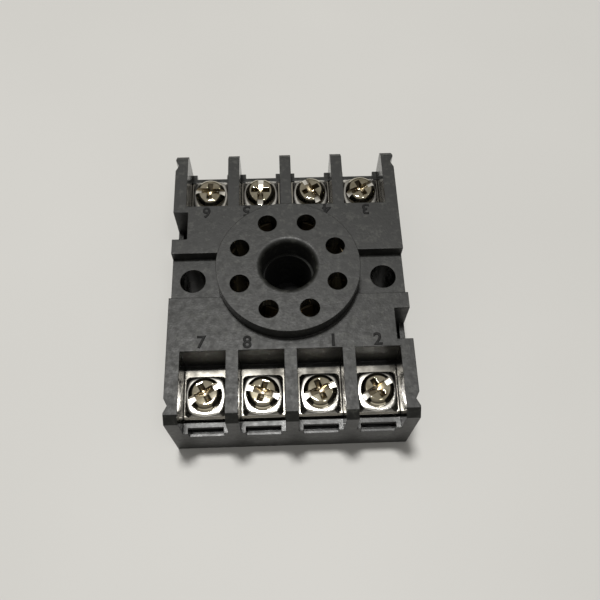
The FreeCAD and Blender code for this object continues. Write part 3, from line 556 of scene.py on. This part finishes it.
def threaded_shank(length, rise):
    """The shank from rise above the seat of the head down to length below it."""
    made = bmesh.new()
    levels = int(length / LEVEL_HEIGHT)
    rings = []
    for level in range(levels + 1):
        height = rise - (length + rise) * level / levels
        at_point = THREAD_OUTER - POINT_CUT + (height + length) * POINT_SLOPE
        ring = []
        for step in range(THREAD_STEPS):
            share = (height / THREAD_PITCH - step / THREAD_STEPS) % 1.0
            radius = THREAD_ROOT + (THREAD_OUTER - THREAD_ROOT) * ridge(share)
            angle = 2 * math.pi * step / THREAD_STEPS
            ring.append(made.verts.new(polar(min(radius, at_point), angle, height)))
        rings.append(ring)
    for lower, upper in zip(rings, rings[1:]):
        skin(made, lower, upper, THREAD_STEPS)
    made.faces.new(rings[0])
    made.faces.new(rings[-1])
    bmesh.ops.recalc_face_normals(made, faces=made.faces)
    return made


shank = workpiece("shank", threaded_shank(SHANK_LENGTH, SHANK_RISE))
shank_mesh = finished_mesh(shank)
bpy.data.objects.remove(shank)
print("shank has", len(shank_mesh.polygons), "faces")

# %% [markdown]
# ## Placing the eight screws
#
# Each screw takes its place from the box of the CAD screw it stands for, so nothing is
# measured twice.  The slots stopped at different angles when the screws were driven home,
# which is why every screw has its own turn.  Each piece rides on its own body, so it turns
# and lifts with its joint.  The floor of the slot gets a lighter copy of the screw's nickel,
# a painted highlight, and the faces of the recess a darker copy, painted shade.  Shading runs
# smooth only over edges flatter than the crisp angle, so that a flat crown stays flat to the eye.

# %% Screws
SCREW_TURNS = {1: 21, 2: 31, 3: 25, 4: 119, 5: 88, 6: 175, 7: 29, 8: 162}
CRISP_ANGLE = 20
LEVEL_FACE = 0.98
SLOT_SLACK = 0.04
BELOW_CROWN = 0.02
ABOVE_FOOT = 0.05
SLOT_HIGHLIGHT_INDEX = 1
RECESS_SHADE_INDEX = 2


def join_meshes(name, meshes, place):
    """One mesh from several, moved by a matrix and shrunk to metres."""
    made = bmesh.new()
    for mesh in meshes:
        made.from_mesh(mesh)
    made.transform(Matrix.Scale(MM, 4) @ place)
    joined = bpy.data.meshes.new(name)
    made.to_mesh(joined)
    made.free()
    return joined


def mark_slot(mesh, level):
    """Gives the slot floor's painted highlight to the level faces at one height; returns how
    many.
    """
    count = 0
    for face in mesh.polygons:
        if face.normal.z > LEVEL_FACE and abs(face.center.z / MM - level) < SLOT_SLACK:
            face.material_index = SLOT_HIGHLIGHT_INDEX
            count += 1
    return count


def mark_recess(mesh, low, high, axis):
    """Gives the recess's painted shade to the faces near the screw's axis, below the crown."""
    for face in mesh.polygons:
        centre = face.center / MM
        if low < centre.z < high and (centre.xy - axis.xy).length < RECESS_SPAN / 2:
            face.material_index = RECESS_SHADE_INDEX


def put(name, mesh, finishes, body, smooth_angle=35):
    """Puts a finished piece on a body with its finish or finishes."""
    mesh.materials.clear()
    for finish in finishes:
        mesh.materials.append(finish)
    mesh.shade_smooth()
    mesh.set_sharp_from_angle(angle=math.radians(smooth_angle))
    piece = bpy.data.objects.new(name, mesh)
    bpy.context.scene.collection.objects.link(piece)
    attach(piece, body)
    return piece


for number, degrees in SCREW_TURNS.items():
    low, high, middle = span(f"terminal_screw_{number}")
    foot = high.z - HEAD_HEIGHT
    place = Matrix.Translation((middle.x, middle.y, foot))
    place = place @ Matrix.Rotation(math.radians(degrees), 4, "Z")
    mesh = join_meshes(f"screw_{number}", [head_mesh, shank_mesh], place)
    screw = put(f"binding_screw_{number}", mesh, [screw_finish, slot_floor_painted_highlight, recess_painted_shade],
                f"screw_{number}", CRISP_ANGLE)
    mark_recess(mesh, foot + ABOVE_FOOT, high.z - BELOW_CROWN, middle)
    floor_faces = mark_slot(mesh, foot + SLOT_FLOOR)
    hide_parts(f"terminal_screw_{number}")
print("screws placed:", len(SCREW_TURNS), "with", floor_faces, "slot floor faces each")

# %% [markdown]
# ## The spring behind the latch
#
# When the latch is pulled out its spring shortens against the end wall.  The wire is taken
# over from the CAD as it is, given a mesh of its own, and put on the socket.

# %% Latch spring
ROUND_ANGLE = 50
low, high, middle = span("latch_spring")
wire = nodes["latch_spring"]
coil_mesh = wire.data.copy()
coil_mesh.transform(wire.matrix_world)
coil = put("coil_spring", coil_mesh, [spring_finish], "socket", ROUND_ANGLE)
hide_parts("latch_spring")
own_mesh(coil)

# %% [markdown]
# ## Dished clamp plates
#
# Under each head is a square of sheet metal with its middle pressed up into a shallow dish,
# which springs a little when the screw is tight.  A polar grid suits it: rings that follow
# the round dish in the middle turn into rings that follow the square outline at the edge.
# The outline is the nearest of eight straight sides at each angle, which gives the cut
# corners for free.  The dish swells a little towards the corners, and the corners droop, as
# sheet metal does when the dish is pressed.

# %% Clamp plates
PLATE_STEPS = 120
PLATE_SHEET = 0.6
HOLE_RADIUS = 1.86
CORNER_CUT = 0.45
DISH_RADIUS = 3.32
FLAT_RADIUS = 2.6
CORNER_START = 3.42
CORNER_REACH = 0.42
CORNER_SLOPE = 0.35
UPPER_FACE = 0.3
RIM_WIDTH = 0.065
TURNED_AWAY = 0.05


def outline_radius(angle, half_width, half_length):
    """Distance from the middle to the edge of a square with cut corners."""
    corner = (half_width + half_length - CORNER_CUT) / math.sqrt(2)
    sides = [(0, half_width), (180, half_width), (90, half_length), (270, half_length)]
    sides += [(turned, corner) for turned in (45, 135, 225, 315)]
    reach = []
    for direction, distance in sides:
        share = math.cos(angle - math.radians(direction))
        if share > TURNED_AWAY:
            reach.append(distance / share)
    return min(reach)


def dished_plate(half_width, half_length, sheet, rise):
    """A clamp plate; its rings are (radius, or None for the outline, inset, height)."""
    rings = [
        (HOLE_RADIUS, 0, 0.05), (HOLE_RADIUS, 0, rise - 0.06), (HOLE_RADIUS + 0.07, 0, rise),
        (2.3, 0, rise), (2.6, 0, rise - 0.004), (2.85, 0, rise - 0.02), (3.05, 0, rise - 0.038),
        (3.2, 0, rise - 0.056), (3.28, 0, rise - 0.1), (3.32, 0, sheet + 0.04),
        (None, 0.06, sheet - 0.02), (None, 0.015, sheet - 0.05), (None, 0, sheet - 0.1),
        (None, 0, 0.06),
        (None, 0.04, 0.0), (3.05, 0, 0.0), (2.9, 0, rise - sheet), (HOLE_RADIUS, 0, rise - sheet),
    ]
    made = bmesh.new()
    grid = []
    for radius, inset, height in rings:
        ring = []
        for step in range(PLATE_STEPS):
            angle = 2 * math.pi * step / PLATE_STEPS
            edge = outline_radius(angle, half_width, half_length)
            spread = min(1, max(0, edge - CORNER_START)) * CORNER_REACH
            share = max(0, (radius or 0) - FLAT_RADIUS) / (DISH_RADIUS - FLAT_RADIUS)
            if radius is None:
                reach = edge - inset
            else:
                reach = min(radius + share * spread, edge - RIM_WIDTH)
            droop = 0
            if height > UPPER_FACE:
                droop = max(0, reach - DISH_RADIUS - spread) * CORNER_SLOPE
            ring.append(made.verts.new(polar(reach, angle, height - droop)))
        grid.append(ring)
    for inner, outer in zip(grid, grid[1:] + grid[:1]):
        skin(made, inner, outer, PLATE_STEPS)
    bmesh.ops.recalc_face_normals(made, faces=made.faces)
    return made


for number in TERMINALS:
    low, high, middle = span(f"clamp_plate_{number}")
    half = (high - low) / 2
    blank = workpiece("clamp_blank", dished_plate(half.x, half.y, PLATE_SHEET, high.z - low.z))
    mesh = join_meshes(f"clamp_{number}", [blank.data],
                       Matrix.Translation((middle.x, middle.y, low.z)))
    bpy.data.objects.remove(blank)
    clamp = put(f"wire_clamp_{number}", mesh, [clamp_finish],
                f"clamp_{number}", ROUND_ANGLE)
    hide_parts(f"clamp_plate_{number}")
print("clamp plates placed, each", [round(2 * v, 2) for v in half])

# %% [markdown]
# ## Terminal numbers
#
# Plain numerals 1 to 8 stand a little proud of the deck beside the pockets, moulded with
# it.  Their finish is a darker copy of the deck's plastic, painted shade that stands for the
# dark look of their sloped sides.  Blender's own text object is the quickest source of clean
# numerals: we give it a small extrusion and a bevel, turn it into a mesh, and press it a
# little into the deck.  The far row faces the other way, so it is turned by half a turn.

# %% Numerals
LETTERING_SIZE = 2.967
NUMERAL_EXTRUSION = 0.02
NUMERAL_BEVEL = 0.12
NUMERAL_THINNING = -0.04
NUMERAL_ANGLE = 30
NUMERAL_SPECULAR = 0.22
NUMERAL_PLACES = {
    1: (7.0, -12.55), 2: (14.3, -12.55), 3: (14.2, 12.45), 4: (7.2, 12.6),
    5: (-7.1, 12.6), 6: (-14.2, 12.45), 7: (-14.4, -12.3), 8: (-7.0, -12.5),
}


def numeral(number, turned):
    """A mesh of one numeral, centred, in millimetres."""
    text = bpy.data.curves.new("numeral", "FONT")
    text.body = str(number)
    text.size = LETTERING_SIZE
    text.align_x = "CENTER"
    text.align_y = "CENTER"
    text.extrude = NUMERAL_EXTRUSION
    text.bevel_depth = NUMERAL_BEVEL
    text.bevel_resolution = 3
    text.offset = NUMERAL_THINNING
    text.resolution_u = 6
    piece = bpy.data.objects.new("numeral", text)
    bpy.context.scene.collection.objects.link(piece)
    mesh = finished_mesh(piece)
    bpy.data.objects.remove(piece)
    xs = [vertex.co.x for vertex in mesh.vertices]
    ys = [vertex.co.y for vertex in mesh.vertices]
    mesh.transform(Matrix.Translation((-(min(xs) + max(xs)) / 2, -(min(ys) + max(ys)) / 2, 0)))
    mesh.transform(Matrix.Rotation(math.pi if turned else 0, 4, "Z"))
    return mesh


# Painted shade: the numerals get a darker copy of the housing's plastic.
numeral_painted_shade = moulding("numeral_moulding_painted_shade", (0.006, 0.006, 0.006), (0.012, 0.012, 0.011),
                          0.60, 0.60, 0.56, 0.004)
for node in numeral_painted_shade.node_tree.nodes:
    if node.type == "BSDF_PRINCIPLED":
        node.inputs["Specular IOR Level"].default_value = NUMERAL_SPECULAR
for number, (x, y) in NUMERAL_PLACES.items():
    shape = numeral(number, y > 0)
    mesh = join_meshes(f"numeral_{number}", [shape], Matrix.Translation((x, y, deck)))
    put(f"numeral_{number}", mesh, [numeral_painted_shade], "socket",
        NUMERAL_ANGLE)
print("numerals placed:", len(NUMERAL_PLACES))

# %% [markdown]
# ## The bench
#
# A plain pale surface catches the soft shadow that tells how the object stands.  It isn't
# part of the object.  Its colour drifts very slightly, because a perfectly even surface
# looks like paper cut out behind the object.

# %% Bench
BENCH_SIZE = 1.2
BENCH_ROUGHNESS = 0.6
bench_mesh = bpy.data.meshes.new("bench")
bench_shape = bmesh.new()
bmesh.ops.create_grid(bench_shape, x_segments=8, y_segments=8, size=BENCH_SIZE)
bench_shape.to_mesh(bench_mesh)
bench_shape.free()
bench = bpy.data.objects.new("bench", bench_mesh)
bpy.context.scene.collection.objects.link(bench)
bench_finish, bench_shader = new_finish("bench_paint", 0.0)
bench_shader.inputs["Roughness"].default_value = BENCH_ROUGHNESS
bench_tone = blend_colours(bench_finish, cloud(bench_finish, 9, 3.0),
                           [(0.3, (0.595, 0.59, 0.57)), (0.7, (0.63, 0.625, 0.605))])
connect(bench_finish, bench_tone, bench_shader.inputs["Base Color"])
bench_mesh.materials.append(bench_finish)
print("bench laid")

# %% [markdown]
# ## Light
#
# One small soft lamp hangs overhead and slightly behind, which puts a broad sheen on the
# satin deck and white patches in the plated metal.  A far weaker one in front fills the
# shade a little.  The room gives the rest: brighter from above and darker towards the
# horizon, so that metal has something dark to reflect too.

# %% Light
ROOM_STRENGTH = 0.66


def soft_lamp(name, place, width, height, watts, colour):
    """A rectangular lamp, sizes in metres, that shines at the origin."""
    data = bpy.data.lights.new(name, "AREA")
    data.shape = "RECTANGLE"
    data.size = width
    data.size_y = height
    data.energy = watts
    data.color = colour
    lamp = bpy.data.objects.new(name, data)
    bpy.context.scene.collection.objects.link(lamp)
    lamp.location = place
    lamp.rotation_euler = (-Vector(place)).to_track_quat("-Z", "Y").to_euler()


soft_lamp("ceiling_lamp", (-0.05, 0.11, 0.79), 0.11, 0.10, 4.9, (1, 0.99, 0.965))
soft_lamp("window_lamp", (0.19, -0.24, 0.80), 0.10, 0.10, 0.32, (0.96, 0.98, 1))
room = bpy.data.worlds.new("room")
bpy.context.scene.world = room
room.use_nodes = True
room_tree = room.node_tree
room_tree.nodes.clear()
sky_place = room_tree.nodes.new("ShaderNodeTexCoord")
sky_parts = room_tree.nodes.new("ShaderNodeSeparateXYZ")
sky_ramp = room_tree.nodes.new("ShaderNodeValToRGB")
sky_light = room_tree.nodes.new("ShaderNodeBackground")
sky_output = room_tree.nodes.new("ShaderNodeOutputWorld")
horizon, zenith = sky_ramp.color_ramp.elements
horizon.position = 0.0
horizon.color = (0.05, 0.048, 0.045, 1)
zenith.position = 0.9
zenith.color = (0.46, 0.445, 0.415, 1)
room_tree.links.new(sky_place.outputs["Generated"], sky_parts.inputs["Vector"])
room_tree.links.new(sky_parts.outputs["Z"], sky_ramp.inputs["Fac"])
room_tree.links.new(sky_ramp.outputs["Color"], sky_light.inputs["Color"])
room_tree.links.new(sky_light.outputs["Background"], sky_output.inputs["Surface"])
sky_light.inputs["Strength"].default_value = ROOM_STRENGTH
